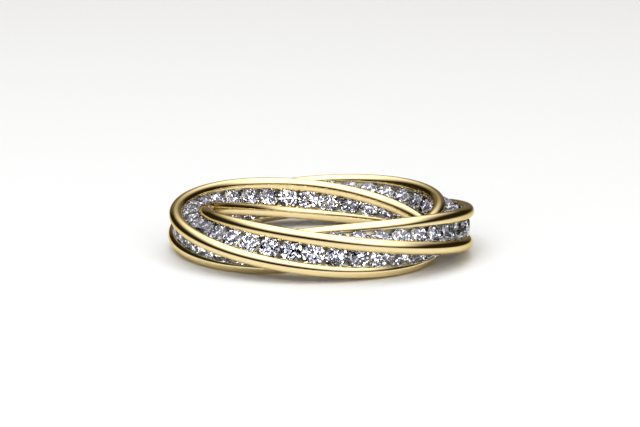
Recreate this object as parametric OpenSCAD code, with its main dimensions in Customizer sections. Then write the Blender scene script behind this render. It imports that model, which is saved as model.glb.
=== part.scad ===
// Twist ring: a band of square section that turns once on its way round the finger.
// Four round rails run along its corners, and each of its four faces is a channel
// that holds a row of round brilliant stones.

/* [Band] */
// Radius of the circle that the middle of the band follows
ring_r = 10.8; // [9.6:0.1:12.6]
// Distance from the middle of the band to the middle of each rail
rail_reach = 1.69; // [1.66:0.01:1.74]
// Radius of each round rail
rail_r = 0.555; // [0.54:0.005:0.58]
// Degrees by which each lip is cut back from the rail's point nearest the stones
lip_back = 22; // [20:1:30]
// Height of the seats, which hold the girdles, above the middle of the band
seat_height = 1.18; // [1.16:0.01:1.2]

/* [Turn] */
// Degrees by which the band has turned where the count round the finger starts
turn_start = -0.6; // [-45:0.1:45]
// Most degrees by which the turn runs ahead of an even one, and on the other side behind it
turn_uneven = 5.6; // [0:0.1:10]
// Degrees round the finger at which it is furthest ahead
turn_ahead_at = 349; // [0:1:359]

/* [Stones] */
// Width of a stone across its girdle
stone_d = 1.75; // [1.68:0.01:1.76]
// Least distance from stone to stone along a row
least_pitch = 1.77; // [1.76:0.01:2.4]
// Where the first stone of a row sits, as a share of the distance from stone to stone
first_stone = 0.51; // [0:0.01:0.99]

/* [Cut] */
// Width of the table as a share of the stone's width
table_share = 0.55; // [0.5:0.01:0.6]
// Slope of the crown in degrees
crown_angle = 34.5; // [32:0.5:36]
// Slope of the pavilion in degrees
pavilion_angle = 40.75; // [39:0.25:42]
// Thickness of the girdle
girdle_t = 0.05; // [0.03:0.01:0.06]

/* [Hidden] */

gold = [0.91, 0.76, 0.42];
diamond = [0.85, 0.9, 0.96];

// The section has a rail at each corner, and the band rests on them at z = 0
corners = 4;
middle_z = rail_reach + rail_r;

// A stone has this many sides at its girdle, and two of them face its neighbours
cut_sides = 8;

// Steps round the finger, and steps round the open side of a rail
ring_steps = 72;
rail_steps = 8;

// A channel has a flat floor and sides at 45 degrees up to the seat
floor_half = 0.08;
seat_play = 0.13;
seat_half = stone_d / 2 * cos(180 / cut_sides) + seat_play;
floor_height = seat_height - (seat_half - floor_half);

// The rails reach over the stones and end in lips with a narrow upright face
rail_mid = rail_reach * cos(45);
lip_angle = 180 - lip_back;
lip_face = 0.04;
lip_half = rail_mid + rail_r * cos(lip_angle);
lip_height = rail_mid + rail_r * sin(lip_angle) - lip_face;

// Points on one side of a channel, from its floor to the underside of its lip
channel_side = [
    [floor_half, floor_height],
    [seat_half, seat_height],
    [lip_half, lip_height]
];

// Points round the rail of the corner at 45 degrees, from one lip to the next
rail_side = [
    for (step = [0:rail_steps])
        let (a = lip_angle + (90 - 2 * lip_angle) * step / rail_steps)
        [rail_mid + rail_r * cos(a), rail_mid + rail_r * sin(a)]
];

// One corner of the section, clockwise from one channel's floor to the next one's
corner_side = concat(
    channel_side,
    rail_side,
    [for (i = [len(channel_side) - 1:-1:0]) [channel_side[i][1], channel_side[i][0]]]
);

// The whole section, with a point as its distance from the middle and its angle
section = [
    for (corner = [0:corners - 1], p = corner_side)
        [norm(p), atan2(p[1], p[0]) - 90 * corner]
];

// How far the section has turned at an angle round the finger, and how fast it turns there
function turned(around) = around + turn_start + turn_uneven * cos(around - turn_ahead_at);
function turn_rate(around) = 1 - turn_uneven * PI / 180 * sin(around - turn_ahead_at);

// A point of the section at an angle round the finger
function on_ring(p, around) =
    let (
        a = p[1] - turned(around),
        r = ring_r + p[0] * cos(a)
    )
    [r * cos(around), r * sin(around), middle_z + p[0] * sin(a)];

// The metal of the band, swept round as one closed solid
module band() {
    n = len(section);
    color(gold)
        polyhedron(
            points = [
                for (step = [0:ring_steps - 1], p = section)
                    on_ring(p, 360 * step / ring_steps)
            ],
            faces = [
                for (step = [0:ring_steps - 1], i = [0:n - 1])
                    let (
                        here = step * n,
                        next = (step + 1) % ring_steps * n,
                        j = (i + 1) % n
                    )
                    each [[here + i, next + i, here + j], [next + i, next + j, here + j]]
            ],
            convexity = 12
        );
}

// A round brilliant: an eight-sided table turned half a side against the girdle,
// sixteen crown facets, eight girdle facets and eight pavilion facets
stone_r = stone_d / 2;
table_r = stone_r * table_share;
table_z = girdle_t / 2 + (stone_r - table_r) * tan(crown_angle);
culet_z = -girdle_t / 2 - stone_r * tan(pavilion_angle);

function cut_ring(r, z, turn) = [
    for (i = [0:cut_sides - 1])
        let (a = 360 * (i + turn) / cut_sides)
        [r * cos(a), r * sin(a), z]
];

module stone() {
    k = cut_sides;
    table = 0;
    top = k;
    bottom = 2 * k;
    culet = 3 * k;
    polyhedron(
        points = concat(
            cut_ring(table_r, table_z, 0),
            cut_ring(stone_r, girdle_t / 2, 0.5),
            cut_ring(stone_r, -girdle_t / 2, 0.5),
            [[0, 0, culet_z]]
        ),
        faces = concat(
            [[for (i = [k - 1:-1:0]) table + i]],
            [
                for (i = [0:k - 1])
                    let (j = (i + 1) % k)
                    each [
                        [table + i, table + j, top + i],
                        [table + j, top + j, top + i],
                        [top + i, top + j, bottom + j, bottom + i],
                        [bottom + i, bottom + j, culet]
                    ]
            ]
        )
    );
}

// Where the seat of a row is: the direction of its channel in the section, and the distance
// from the finger's axis
function channel_angle(facing, around) = facing - turned(around);
function seat_r(facing, around) = ring_r + seat_height * cos(channel_angle(facing, around));

// Length of a row's seat up to each step round the finger, each with the angle there
seat_steps = 360;
seat_step = 360 / seat_steps;

function seat_stride(facing, around) =
    norm([seat_r(facing, around), seat_height * turn_rate(around)]) * seat_step * PI / 180;

function seat_lengths(facing) = [
    for (
        i = 0, length = 0;
        i <= seat_steps;
        length = length + seat_stride(facing, (i + 0.5) * seat_step), i = i + 1
    )
        [length, i * seat_step]
];

// The row of the channel that faces outwards where the turn has reached an angle, with its
// stones evenly spaced along its seat
module stone_row(facing) {
    lengths = seat_lengths(facing);
    whole = lengths[seat_steps][0];
    stones = floor(whole / least_pitch);
    color(diamond)
        for (i = [0:stones - 1]) {
            around = lookup(whole * (i + first_stone) / stones, lengths);
            lean = atan2(seat_height * turn_rate(around), seat_r(facing, around));
            rotate([0, 0, around])
                translate([ring_r, 0, middle_z])
                    rotate([0, 90 - channel_angle(facing, around), 0])
                        translate([0, 0, seat_height])
                            rotate([0, 0, -lean])
                                stone();
        }
}

module stone_row_1() {
    stone_row(0);
}

module stone_row_2() {
    stone_row(90);
}

module stone_row_3() {
    stone_row(180);
}

module stone_row_4() {
    stone_row(270);
}

band();
stone_row_1();
stone_row_2();
stone_row_3();
stone_row_4();
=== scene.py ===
import math
import random

import bpy
import numpy as np
from mathutils import Matrix, Quaternion, Vector


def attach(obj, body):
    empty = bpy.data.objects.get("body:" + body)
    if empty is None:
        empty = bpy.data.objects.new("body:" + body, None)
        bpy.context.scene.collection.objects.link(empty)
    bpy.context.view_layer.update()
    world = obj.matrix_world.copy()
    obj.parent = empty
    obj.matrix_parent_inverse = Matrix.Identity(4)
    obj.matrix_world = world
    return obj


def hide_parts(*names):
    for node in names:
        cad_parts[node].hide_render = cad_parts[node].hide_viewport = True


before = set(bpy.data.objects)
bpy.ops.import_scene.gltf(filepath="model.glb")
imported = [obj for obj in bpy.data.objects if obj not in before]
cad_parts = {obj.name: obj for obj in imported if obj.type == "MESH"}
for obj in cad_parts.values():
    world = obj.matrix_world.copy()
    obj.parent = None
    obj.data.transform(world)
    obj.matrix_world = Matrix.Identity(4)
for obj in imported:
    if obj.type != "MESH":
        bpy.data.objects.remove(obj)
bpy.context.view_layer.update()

# A twist ring: a gold band of square section that turns once on its way round the finger, with a
# round rail along each corner and a row of round brilliants in each face. Sizes are millimetres
# and angles radians, unless a comment says otherwise
MM = 0.001

# The band's driving sizes and its turn, as in the CAD model
RING_R = 10.8
RAIL_REACH = 1.69
RAIL_R = 0.555
LIP_BACK = math.radians(22)
LIP_FACE = 0.04
SEAT_HEIGHT = 1.18
CORNERS = 4
MIDDLE_Z = RAIL_REACH + RAIL_R
TURN_START = math.radians(-0.6)
TURN_UNEVEN = math.radians(5.6)
TURN_AHEAD_AT = math.radians(349)

# The stones' sizes and places, as in the CAD model, and the side of the section in which each
# row lies, in degrees
STONE_D = 1.75
LEAST_PITCH = 1.77
FIRST_STONE = 0.51
ROWS = {"stone_row_1": 0, "stone_row_2": 90, "stone_row_3": 180, "stone_row_4": 270}

# Half widths of a channel at its seats and at its narrow floor. It fits the round girdles more
# closely than the CAD model's, whose girdles have eight sides
GIRDLE_PLAY = 0.02
SEAT_HALF = STONE_D / 2 + GIRDLE_PLAY
GROOVE_HALF = 0.05

# The photograph: its frame and the place of the ring's middle in pixels, its scale, and the
# camera's angle down and its roll, in degrees, and its distance
PHOTO_W = 640
PHOTO_H = 427
PHOTO_RING_X = 321.26
PHOTO_RING_Y = 223.25
PHOTO_PX_PER_MM = 12.08
VIEW_DOWN = 11.86
VIEW_ROLL = 0.2
VIEW_DISTANCE = 200.0


# Objects

def new_object(name, points, faces, materials, material_of):
    """A piece of the ring, with points in metres and the index of each face's material."""
    mesh = bpy.data.meshes.new(name)
    mesh.from_pydata([tuple(p) for p in points], [], faces)
    mesh.update()
    for material in materials:
        mesh.materials.append(material)
    mesh.polygons.foreach_set("material_index", np.array(material_of, dtype=np.int32))
    obj = bpy.data.objects.new(name, mesh)
    bpy.context.collection.objects.link(obj)
    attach(obj, "root")
    return obj


# The band

# Steps of its mesh: up a channel's wall, round the open side of a rail, and round the finger
WALL_STEPS = 4
RAIL_STEPS = 40
RING_STEPS = 432
# Faces of the section from the middle of a channel to the upright face of its lip
CHANNEL_FACES = WALL_STEPS + 4
# Edges sharper than this stay sharp
SHARP_ANGLE = math.radians(30)


def corner_profile():
    """Points of one corner of the section, clockwise from one channel's middle to the next's."""
    groove_height = SEAT_HEIGHT - (SEAT_HALF - GROOVE_HALF)
    rail_mid = RAIL_REACH * math.cos(math.pi / 4)
    lip_angle = math.pi - LIP_BACK
    rail = [
        (rail_mid + RAIL_R * math.cos(a), rail_mid + RAIL_R * math.sin(a))
        for a in np.linspace(lip_angle, math.pi / 2 - lip_angle, RAIL_STEPS + 1)
    ]
    lip_half, lip_top = rail[0]
    wall = np.linspace((GROOVE_HALF, groove_height), (SEAT_HALF, SEAT_HEIGHT), WALL_STEPS + 1)
    side = [(0.0, groove_height), *wall]
    side.append((SEAT_HALF, SEAT_HEIGHT + GIRDLE_PLAY))
    side.append((lip_half, lip_top - LIP_FACE))
    return side + rail + [(y, x) for x, y in reversed(side[1:])]


def section_profile():
    """Points of the whole section, from its middle."""
    points = []
    for corner in range(CORNERS):
        a = -2 * math.pi * corner / CORNERS
        for x, y in corner_profile():
            points.append((x * math.cos(a) - y * math.sin(a), x * math.sin(a) + y * math.cos(a)))
    return np.array(points)


def turned(around):
    """How far the section has turned at an angle round the finger."""
    return around + TURN_START + TURN_UNEVEN * np.cos(around - TURN_AHEAD_AT)


def turn_rate(around):
    """How fast the section turns there, where an even turn is 1."""
    return 1 - TURN_UNEVEN * np.sin(around - TURN_AHEAD_AT)


def sweep(section, around):
    """The section's points at each angle round the finger, in metres."""
    x, y = section.T
    turn = turned(around)
    out = x * np.cos(turn) + y * np.sin(turn)
    up = y * np.cos(turn) - x * np.sin(turn)
    r = RING_R + out
    return np.stack([r * np.cos(around), r * np.sin(around), MIDDLE_Z + up], -1) * MM


def closed_faces(steps, n):
    """Faces of a closed sweep with steps sections of n points."""
    faces = []
    for step in range(steps):
        here = step * n
        there = (step + 1) % steps * n
        for i in range(n):
            j = (i + 1) % n
            faces.append((here + i, here + j, there + j, there + i))
    return faces


def add_polish(band, section, around):
    """Keeps at each point how far round the section it is, and its direction round the finger."""
    length = np.r_[0, np.cumsum(np.linalg.norm(np.diff(section, axis=0), axis=1))]
    values = np.empty((len(around), len(section), 3), np.float32)
    values[:, :, 0] = length
    values[:, :, 1] = np.cos(around)
    values[:, :, 2] = np.sin(around)
    polish = band.data.attributes.new("polish", "FLOAT_VECTOR", "POINT")
    polish.data.foreach_set("vector", values.ravel())


def make_band(polished, unpolished):
    """The gold: rails polished, channels not."""
    section = section_profile()
    n = len(section)
    around = np.linspace(0, 2 * math.pi, RING_STEPS, endpoint=False)[:, None]
    points = sweep(section, around).reshape(-1, 3)
    corner = n // CORNERS
    in_channel = [min(i % corner, corner - 1 - i % corner) < CHANNEL_FACES for i in range(n)]
    material_of = np.tile(in_channel, RING_STEPS)
    faces = closed_faces(RING_STEPS, n)
    band = new_object("band_polished", points, faces, [polished, unpolished], material_of)
    band.data.shade_smooth()
    band.data.set_sharp_from_angle(angle=SHARP_ANGLE)
    add_polish(band, section, around)
    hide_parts("band")


# The stones

# The cut of a stone. The table is a share of its width, the stars reach a share of the way from
# the table to the girdle, and the lower halves a share of the way from the girdle to the culet.
# The girdle's thickness is a share of its radius, and the crown and the pavilion have slopes
SIDES = 8
TABLE = 0.55
STARS = 0.5
LOWER_HALVES = 0.77
GIRDLE = 0.045
CROWN = math.radians(34.5)
PAVILION = math.radians(40.75)
# Steps that measure the length of a seat, and the most that a stone is tipped in it
SEAT_STEPS = 1440
MOST_TIP = math.radians(1.2)
# Start of the stones' chance turns, tips and the painted sparkle of their facets
SEED = 7
# Painted sparkle: how light the colour of a facet of these kinds is painted, from 0 to 1, in place of
# the glints and dark reflections of a cut stone. The others take it by chance
GIVEN_PAINTED_SPARKLE = {"table": 0.42, "rim": 1.0}


def circle(r, z, count, turn=0.0):
    """Evenly spaced points on a level circle, turned by a part of the space between two."""
    angles = [2 * math.pi * (i + turn) / count for i in range(count)]
    return [(r * math.cos(a), r * math.sin(a), z) for a in angles]


def brilliant():
    """A round brilliant of 57 facets and a faceted girdle: its points in units of its radius, its
    faces, and the kind of each face. Stars and lower halves end between the table's corners."""
    between = math.cos(math.pi / SIDES)
    star_r = TABLE * between + STARS * (1 - TABLE * between)
    lower_r = 1 - LOWER_HALVES
    top = GIRDLE / 2
    bottom = -GIRDLE / 2
    rings = [
        circle(TABLE, top + (1 - TABLE) * math.tan(CROWN), SIDES),
        circle(star_r, top + (1 - star_r * between) * math.tan(CROWN), SIDES, 0.5),
        circle(1, top, 2 * SIDES),
        circle(1, bottom, 2 * SIDES),
        circle(lower_r, bottom - (1 - lower_r * between) * math.tan(PAVILION), SIDES, 0.5),
        [(0, 0, bottom - math.tan(PAVILION))],
    ]
    points = sum(rings, [])
    starts = np.cumsum([0] + [len(ring) for ring in rings[:-1]]).tolist()
    table, star, upper, under, lower, culet = starts

    faces = [tuple(range(SIDES))]
    kinds = ["table"]
    for i in range(SIDES):
        after = (i + 1) % SIDES
        before = (i - 1) % SIDES
        edge = 2 * i
        middle = 2 * i + 1
        next_edge = 2 * after
        faces += [
            (table + i, star + i, table + after),
            (table + i, star + before, upper + edge, star + i),
            (star + i, upper + edge, upper + middle),
            (star + i, upper + middle, upper + next_edge),
            (under + edge, lower + i, under + middle),
            (under + middle, lower + i, under + next_edge),
            (under + edge, lower + before, culet, lower + i),
        ]
        kinds += ["star", "bezel", "rim", "rim", "lower", "lower", "pavilion"]
    for i in range(2 * SIDES):
        j = (i + 1) % (2 * SIDES)
        faces.append((upper + i, under + i, under + j, upper + j))
        kinds.append("girdle")
    return points, faces, kinds


def seat_radius(facing, around):
    """Distance of a row's seat from the finger's axis, at an angle round the finger."""
    return RING_R + SEAT_HEIGHT * np.cos(facing - turned(around))


def stone_places(facing):
    """Where the stones of a row sit: angles round the finger, evenly spaced along its seat."""
    around = np.linspace(0, 2 * math.pi, SEAT_STEPS + 1)
    pace = np.hypot(seat_radius(facing, around), SEAT_HEIGHT * turn_rate(around))
    length = np.r_[0, np.cumsum((pace[1:] + pace[:-1]) / 2)] * 2 * math.pi / SEAT_STEPS
    count = math.floor(length[-1] / LEAST_PITCH)
    return np.interp(length[-1] * (np.arange(count) + FIRST_STONE) / count, length, around)


def stone_matrix(facing, around, turn, tip_x, tip_y):
    """Takes a stone from its own axes to its seat."""
    lean = math.atan2(SEAT_HEIGHT * turn_rate(around), seat_radius(facing, around))
    return (
        Matrix.Rotation(around, 4, "Z")
        @ Matrix.Translation((RING_R, 0, MIDDLE_Z))
        @ Matrix.Rotation(math.pi / 2 - facing + turned(around), 4, "Y")
        @ Matrix.Translation((0, 0, SEAT_HEIGHT))
        @ Matrix.Rotation(tip_x, 4, "X")
        @ Matrix.Rotation(tip_y, 4, "Y")
        @ Matrix.Rotation(turn - lean, 4, "Z")
    )


def facet_painted_sparkle(kind, chance):
    """The painted sparkle of a facet: how light its colour is painted, in place of glints and dark
    reflections. Every facet draws, whether or not its kind needs it.
    """
    drawn = chance.random()
    return GIVEN_PAINTED_SPARKLE.get(kind, drawn)


def make_row(name, facing, clear, frosted, chance):
    """A row of stones: their facets are clear diamond painted light or dark as painted sparkle, and
    their girdles are frosted.
    """
    cut_points, cut_faces, cut_kinds = brilliant()
    points = []
    faces = []
    kinds = []
    for around in stone_places(facing):
        turn = chance.uniform(0, 2 * math.pi / SIDES)
        tip_x = chance.uniform(-MOST_TIP, MOST_TIP)
        tip_y = chance.uniform(-MOST_TIP, MOST_TIP)
        to_seat = stone_matrix(facing, around, turn, tip_x, tip_y)
        first = len(points)
        points += [to_seat @ (Vector(p) * STONE_D / 2) * MM for p in cut_points]
        faces += [tuple(first + i for i in face) for face in cut_faces]
        kinds += cut_kinds
    on_girdle = [kind == "girdle" for kind in kinds]
    row = new_object(name + "_brilliants", points, faces, [clear, frosted], on_girdle)
    # Each facet keeps its painted sparkle: the share by which its colour is painted light or dark in
    # place of glints and dark reflections
    painted_sparkle = row.data.attributes.new("painted_sparkle", "FLOAT", "FACE")
    painted_sparkle.data.foreach_set("value", [facet_painted_sparkle(kind, chance) for kind in kinds])
    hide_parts(name)


# Shader nodes

# The range in which most of a noise lies
NOISE_RANGE = (0.3, 0.7)


def feed(tree, socket, value):
    """Gives a socket another node's output or a fixed value, a colour as red, green and blue."""
    if isinstance(value, bpy.types.NodeSocket):
        tree.links.new(value, socket)
    elif socket.type == "RGBA":
        socket.default_value = (*value, 1)
    else:
        socket.default_value = value


def feed_all(tree, node, inputs):
    """Feeds a node's sockets, each given by its name or its number."""
    for key, value in inputs.items():
        feed(tree, node.inputs[key], value)


def add_node(tree, kind, inputs, **settings):
    """A shader node with its settings and what its sockets get."""
    node = tree.nodes.new("ShaderNode" + kind)
    for key, value in settings.items():
        setattr(node, key, value)
    feed_all(tree, node, inputs)
    return node


def math_node(tree, operation, *inputs):
    """The result of an operation on numbers."""
    return add_node(tree, "Math", dict(enumerate(inputs)), operation=operation).outputs[0]


def vector_node(tree, operation, inputs, output="Vector"):
    """The result of an operation on vectors."""
    return add_node(tree, "VectorMath", inputs, operation=operation).outputs[output]


def mixed(tree, share, first, second):
    """A mix of two colours by the share of the second."""
    return add_node(tree, "Mix", {0: share, 6: first, 7: second}, data_type="RGBA").outputs[2]


def noise(tree, place, scale, detail, roughness):
    """A cloudy noise from 0 to 1."""
    inputs = {"Vector": place, "Scale": scale, "Detail": detail, "Roughness": roughness}
    return add_node(tree, "TexNoise", inputs).outputs["Fac"]


def ranged(tree, value, old, new, interpolation="LINEAR"):
    """A value carried from an old range to a new one, and held at the ends of the new one."""
    ends = zip(("From Min", "From Max", "To Min", "To Max"), (*old, *new))
    inputs = {"Value": value, **dict(ends)}
    return add_node(tree, "MapRange", inputs, interpolation_type=interpolation).outputs["Result"]


def faded(tree, value, start, end, level):
    """Softly from nothing, where a value is at its start, to a level, where it is at its end."""
    return ranged(tree, value, (start, end), (0.0, level), "SMOOTHSTEP")


def stepped(tree, share, steps):
    """The colour of the last step that begins at or below a share from 0 to 1."""
    node = add_node(tree, "ValToRGB", {0: share})
    ramp = node.color_ramp
    ramp.interpolation = "CONSTANT"
    anywhere = 0.5
    while len(ramp.elements) < len(steps):
        ramp.elements.new(anywhere)
    for element, (begins, colour) in zip(ramp.elements, steps):
        element.position = begins
        element.color = (*colour, 1)
    return node.outputs["Color"]


def coordinates(tree, kind):
    """The place of a point in an object, or a direction in the world."""
    return add_node(tree, "TexCoord", {}).outputs[kind]


def kept_attribute(tree, name, output):
    """What a mesh keeps at its points or faces."""
    return add_node(tree, "Attribute", {}, attribute_name=name).outputs[output]


def ray_kinds(tree):
    """What kind of ray meets a surface or the world."""
    return add_node(tree, "LightPath", {}).outputs


def new_material(name):
    """A material and its node tree and main shader."""
    material = bpy.data.materials.new(name)
    material.use_nodes = True
    return material, material.node_tree, material.node_tree.nodes["Principled BSDF"]


# Polished gold

# The two tones that it mixes, the tint of what it mirrors at a flat angle, and the range of its
# roughness
GOLD_TONES = ((0.925, 0.755, 0.41), (0.89, 0.725, 0.39))
GOLD_TINT = (0.8, 0.7, 0.45)
GOLD_ROUGHNESS = (0.03, 0.07)
# How close its polishing lines lie, across the rails for each millimetre, and along them for each
# radian round the finger, and how close its clouds of tone
POLISH_LINES = (60.0, 14.0, 14.0)
CLOUDS_A_METRE = 900.0


def gold_material():
    """Gold with faint polishing lines along the rails and slight clouds of tone."""
    material, tree, shader = new_material("polished_gold")
    polish = kept_attribute(tree, "polish", "Vector")
    stretched = vector_node(tree, "MULTIPLY", {0: polish, 1: POLISH_LINES})
    lines = noise(tree, stretched, 1.0, detail=4.0, roughness=0.6)
    cloud = noise(tree, coordinates(tree, "Object"), CLOUDS_A_METRE, detail=3.0, roughness=0.5)
    bump = add_node(tree, "Bump", {"Strength": 0.02, "Distance": 0.02 * MM, "Height": lines})
    feed_all(tree, shader, {
        "Base Color": mixed(tree, cloud, *GOLD_TONES),
        "Metallic": 1.0,
        "Specular Tint": GOLD_TINT,
        "Roughness": ranged(tree, lines, NOISE_RANGE, GOLD_ROUGHNESS),
        "Normal": bump.outputs["Normal"],
    })
    return material


# Gold of the channels

# The two tones of its grain, its colour where it is seen through the stones, painted darker as painted
# shade under them, and the range of its roughness
CHANNEL_TONES = ((0.86, 0.83, 0.66), (0.62, 0.59, 0.44))
CHANNEL_PAINTED_SHADE = (0.26, 0.25, 0.22)
CHANNEL_ROUGHNESS = (0.28, 0.45)
CHANNEL_GRAINS_A_METRE = 6000.0


def channel_material():
    """Paler, duller gold, painted darker where it is seen through the stones than beside them: painted
    shade under the stones.
    """
    material, tree, shader = new_material("unpolished_gold")
    grain = noise(tree, coordinates(tree, "Object"), CHANNEL_GRAINS_A_METRE, detail=3.0, roughness=0.6)
    tone = mixed(tree, grain, *CHANNEL_TONES)
    feed_all(tree, shader, {
        # Painted shade: where the channel is seen through the stones, its colour is painted darker
        "Base Color": mixed(tree, ray_kinds(tree)["Is Transmission Ray"], tone, CHANNEL_PAINTED_SHADE),
        "Metallic": 1.0,
        "Roughness": ranged(tree, grain, NOISE_RANGE, CHANNEL_ROUGHNESS),
    })
    return material


# Diamond

# Painted sparkle: the colours the facets are painted, light or dark, in place of glints and dark
# reflections; where each step of a facet's share begins, and its colour
PAINTED_SPARKLE_STEPS = (
    (0.0, (0.04, 0.04, 0.05)),
    (0.32, (0.5, 0.5, 0.6)),
    (0.4, (0.76, 0.76, 0.88)),
    (0.45, (1.0, 1.0, 1.0)),
)
# How strongly diamond bends light, and the tint of what it mirrors, which leaves more of its look
# to what shines through
DIAMOND = {"IOR": 2.417, "Specular Tint": (0.45, 0.45, 0.5)}


def facet_material():
    """Diamond whose facets are each painted light or dark by their own share, a painted sparkle in
    place of glints and dark reflections.
    """
    material, tree, shader = new_material("diamond")
    painted_sparkle = kept_attribute(tree, "painted_sparkle", "Fac")
    feed_all(tree, shader, {
        # Painted sparkle: each facet's colour, light or dark, stands in for glints and dark
        # reflections
        "Base Color": stepped(tree, painted_sparkle, PAINTED_SPARKLE_STEPS),
        "Roughness": 0.0,
        "Transmission Weight": 1.0,
        **DIAMOND,
    })
    return material


def girdle_material():
    """Diamond ground to a frosted white."""
    material, tree, shader = new_material("frosted_diamond")
    feed_all(tree, shader, {
        "Base Color": (1.0, 1.0, 1.0),
        "Roughness": 0.6,
        "Transmission Weight": 0.0,
        **DIAMOND,
    })
    return material


# White floor

# The two tones of its grain, and the range of its roughness
FLOOR_TONES = ((0.86, 0.86, 0.86), (0.84, 0.84, 0.84))
FLOOR_ROUGHNESS = (0.55, 0.65)
FLOOR_GRAINS_A_METRE = 2500.0
# How far from the ring's middle the metal still mirrors the floor in full, and from where on the
# floor's colour is painted dark in the metal's reflections only, a painted dark reflection, in metres,
# and that colour
MIRRORED_FLOOR = (0.014, 0.06)
PAINTED_DARK_REFLECTION = (0.05, 0.04, 0.02)
# Half of its width, in metres
FLOOR_HALF = 1.6


def floor_material():
    """Matt white with a faint grain. Away from the ring, its colour in the metal's reflections is
    painted dark: a painted reflection.
    """
    material, tree, shader = new_material("white_floor")
    place = coordinates(tree, "Object")
    grain = noise(tree, place, FLOOR_GRAINS_A_METRE, detail=3.0, roughness=0.5)
    distance = vector_node(tree, "LENGTH", {0: place}, "Value")
    far = faded(tree, distance, *MIRRORED_FLOOR, 1.0)
    # Painted reflection: far from the ring, the floor is painted dark only where the metal mirrors it
    painted_reflection_share = math_node(tree, "MULTIPLY", far, ray_kinds(tree)["Is Glossy Ray"])
    feed_all(tree, shader, {
        "Base Color": mixed(tree, painted_reflection_share, mixed(tree, grain, *FLOOR_TONES), PAINTED_DARK_REFLECTION),
        "Roughness": ranged(tree, grain, NOISE_RANGE, FLOOR_ROUGHNESS),
    })
    return material


def make_floor(material):
    """The floor that the ring lies on."""
    mesh = bpy.data.meshes.new("floor")
    corners = [(x * FLOOR_HALF, y * FLOOR_HALF, 0) for x, y in ((-1, -1), (1, -1), (1, 1), (-1, 1))]
    mesh.from_pydata(corners, [], [(0, 1, 2, 3)])
    mesh.materials.append(material)
    floor = bpy.data.objects.new("floor", mesh)
    bpy.context.collection.objects.link(floor)
    floor.visible_transmission = False


# Studio, with its angles in degrees: azimuths from the photograph's side toward its right, and
# elevations

# One even ceiling reaches down to a soft rim. The rim's height follows a few waves round the ring:
# how many there are in a turn, how high each is, and where its top is
CEILING_LEVEL = 2.35
RIM_HEIGHT = 38.5
RIM_SOFT = 45.0
RIM_WAVES = ((1, 4.3, -143), (2, 6.0, -67), (3, 6.6, -7))
# A faint glow behind the ring: its azimuth and elevation, how far it reaches, and its level
GLOW_AT = (180, 14)
GLOW_REACH = 32
GLOW_LEVEL = 0.2
# The colour of this light in the metal, and for matt surfaces, which are lit by lamps as well
METAL_SHARE = (0.95, 0.93, 0.965)
MATT_SHARE = (0.43, 0.4, 0.33)
# The colour of the dark room around it
ROOM = (0.022, 0.017, 0.007)
# What shines through the stones: a field of small lamps and dark gaps, whose colours are taken by
# chance from a few steps, each with the share at which it begins. Away from the photograph's side
# the lamps are brighter by a factor, which grows between two cosines of the angle from there
LAMPS_A_RADIAN = 9
LAMP_STEPS = (
    (0.0, (0.0, 0.0, 0.0)),
    (0.62, (0.05, 0.05, 0.08)),
    (0.7, (0.25, 0.25, 0.31)),
    (0.77, (1.0, 1.0, 1.0)),
)
LAMPS_LEVEL = 4.0
LAMPS_ASIDE = 3.6
LAMPS_GROW = (0.9, 0.3)


def toward(azimuth, elevation):
    """Unit vector toward an azimuth and an elevation."""
    a = math.radians(azimuth)
    e = math.radians(elevation)
    return (math.sin(a) * math.cos(e), -math.cos(a) * math.cos(e), math.sin(e))


def ceiling(tree, direction):
    """Level of the ceiling's light in a direction."""
    parts = add_node(tree, "SeparateXYZ", {0: direction}).outputs
    azimuth = math_node(tree, "ARCTAN2", parts["X"], math_node(tree, "MULTIPLY", parts["Y"], -1.0))
    elevation = math_node(tree, "ARCSINE", parts["Z"])
    rim = math.radians(RIM_HEIGHT)
    for count, height, top_at in RIM_WAVES:
        phase = math_node(tree, "MULTIPLY_ADD", azimuth, count, -count * math.radians(top_at))
        wave = math_node(tree, "COSINE", phase)
        rim = math_node(tree, "MULTIPLY_ADD", wave, math.radians(height), rim)
    above = math_node(tree, "SUBTRACT", elevation, rim)
    soft = math.radians(RIM_SOFT) / 2
    return faded(tree, above, -soft, soft, CEILING_LEVEL)


def glow(tree, direction):
    """Level of the glow's light in a direction."""
    nearness = vector_node(tree, "DOT_PRODUCT", {0: direction, 1: toward(*GLOW_AT)}, "Value")
    return faded(tree, nearness, math.cos(math.radians(GLOW_REACH)), 1.0, GLOW_LEVEL)


def studio_light(tree, direction, is_matt):
    """The light that metal mirrors and matt surfaces get."""
    share = mixed(tree, is_matt, METAL_SHARE, MATT_SHARE)
    level = math_node(tree, "MAXIMUM", ceiling(tree, direction), glow(tree, direction))
    lit = vector_node(tree, "SCALE", {0: share, "Scale": level})
    return vector_node(tree, "ADD", {0: lit, 1: ROOM})


def lamp_light(tree, direction):
    """The light that is seen through the stones."""
    cells = add_node(tree, "TexVoronoi", {"Vector": direction, "Scale": LAMPS_A_RADIAN})
    chance = add_node(tree, "SeparateColor", {0: cells.outputs["Color"]}).outputs[0]
    nearness = vector_node(tree, "DOT_PRODUCT", {0: direction, 1: toward(0, VIEW_DOWN)}, "Value")
    aside = faded(tree, nearness, *LAMPS_GROW, LAMPS_ASIDE - 1)
    level = math_node(tree, "MULTIPLY_ADD", aside, LAMPS_LEVEL, LAMPS_LEVEL)
    return vector_node(tree, "SCALE", {0: stepped(tree, chance, LAMP_STEPS), "Scale": level})


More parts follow.
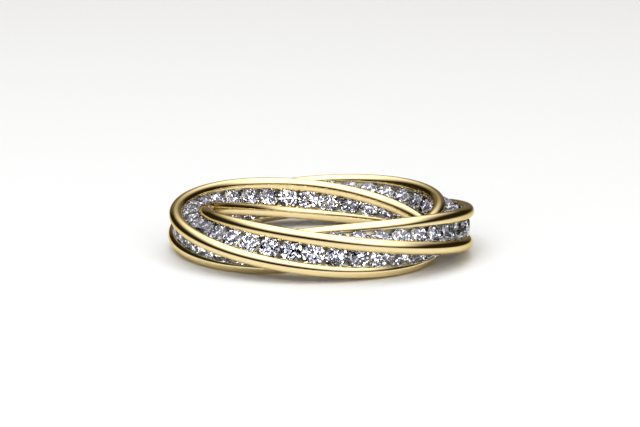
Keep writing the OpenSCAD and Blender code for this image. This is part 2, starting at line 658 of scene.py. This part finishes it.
def make_world():
    """The studio all round the ring, which is too wide to be sampled as a lamp."""
    world = bpy.data.worlds.new("studio")
    bpy.context.scene.world = world
    world.use_nodes = True
    world.cycles.sampling_method = "NONE"
    tree = world.node_tree
    direction = coordinates(tree, "Generated")
    rays = ray_kinds(tree)
    studio = studio_light(tree, direction, rays["Is Diffuse Ray"])
    seen = mixed(tree, rays["Is Transmission Ray"], studio, lamp_light(tree, direction))
    feed_all(tree, tree.nodes["Background"], {"Color": seen, "Strength": 1.0})


# Lamps for the matt surfaces, which neither the metal mirrors nor the stones let through: each has
# its place and width in metres, its power in watts and its colour
LIGHTS = {
    "key": ((-0.05, -0.04, 0.42), 0.42, 1.135, (0.68, 0.79, 1.0)),
    "fill_left": ((-0.2, -0.28, 0.2), 0.3, 0.6, (0.94, 0.94, 0.92)),
    "fill_right": ((0.2, -0.28, 0.2), 0.3, 0.42, (0.94, 0.94, 0.92)),
}


def make_light(name, place, width, power, colour):
    """A square lamp that faces the ring."""
    light = bpy.data.lights.new(name, "AREA")
    light.size = width
    light.energy = power
    light.color = colour
    obj = bpy.data.objects.new(name, light)
    bpy.context.collection.objects.link(obj)
    obj.location = place
    obj.rotation_euler = (-obj.location).to_track_quat("-Z", "Y").to_euler()
    obj.visible_glossy = False
    obj.visible_transmission = False


# Camera: the width of its sensor, and the nearest and farthest that it sees, in metres
SENSOR = 36.0
CLIP_START = 0.01
CLIP_END = 10.0


def make_camera():
    """The photograph's camera, aimed so that the ring's middle lies where the photograph has it."""
    camera = bpy.data.cameras.new("camera")
    camera.sensor_width = SENSOR
    camera.lens = PHOTO_PX_PER_MM * VIEW_DISTANCE / PHOTO_W * SENSOR
    camera.clip_start = CLIP_START
    camera.clip_end = CLIP_END
    obj = bpy.data.objects.new("camera", camera)
    bpy.context.collection.objects.link(obj)
    down = math.radians(VIEW_DOWN)
    right = Vector((1, 0, 0))
    up = Vector((0, math.sin(down), math.cos(down)))
    middle = Vector((0, 0, MIDDLE_Z))
    place = middle + Vector(toward(0, VIEW_DOWN)) * VIEW_DISTANCE
    aim = middle + up * ((PHOTO_RING_Y - PHOTO_H / 2) / PHOTO_PX_PER_MM)
    aim -= right * ((PHOTO_RING_X - PHOTO_W / 2) / PHOTO_PX_PER_MM)
    level = (aim - place).to_track_quat("-Z", "Y")
    roll = Quaternion((0, 0, 1), math.radians(VIEW_ROLL))
    obj.location = place * MM
    obj.rotation_euler = (level @ roll).to_euler()
    bpy.context.scene.camera = obj


def set_rendering():
    """Plain colours, and enough bounces for light to leave the stones."""
    scene = bpy.context.scene
    scene.view_settings.view_transform = "Standard"
    scene.view_settings.exposure = 0.0
    scene.cycles.max_bounces = 20
    scene.cycles.transmission_bounces = 16
    scene.cycles.glossy_bounces = 8


# The scene

make_camera()
make_band(gold_material(), channel_material())
facets = facet_material()
girdles = girdle_material()
stone_chance = random.Random(SEED)
for row_name, facing_degrees in ROWS.items():
    make_row(row_name, math.radians(facing_degrees), facets, girdles, stone_chance)
make_floor(floor_material())
make_world()
for light_name, light_values in LIGHTS.items():
    make_light(light_name, *light_values)
set_rendering()
